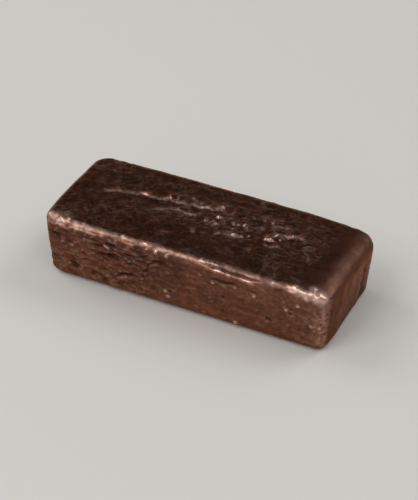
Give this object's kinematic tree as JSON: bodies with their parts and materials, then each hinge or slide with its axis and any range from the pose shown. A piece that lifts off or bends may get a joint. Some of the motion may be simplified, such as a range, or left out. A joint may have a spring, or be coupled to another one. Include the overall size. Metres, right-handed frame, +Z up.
{
  "type": "copper ingot",
  "caption": "Cast copper bar with drafted walls, rounded corners and edges, and a crowned, crinkled free top.",
  "frame": {"origin": "middle of the flat underside, the face that the mould's floor made", "axes": "+X along the bar, towards the end where the top rolls off most; +Y across it; +Z up, out of the mould's mouth"},
  "size_m": [0.1122, 0.0458, 0.027],
  "materials": {
    "cast_copper": "as cast, oxidised satin"
  },
  "bodies": {
    "root": {"ingot": "cast_copper"}
  },
  "joints": []
}
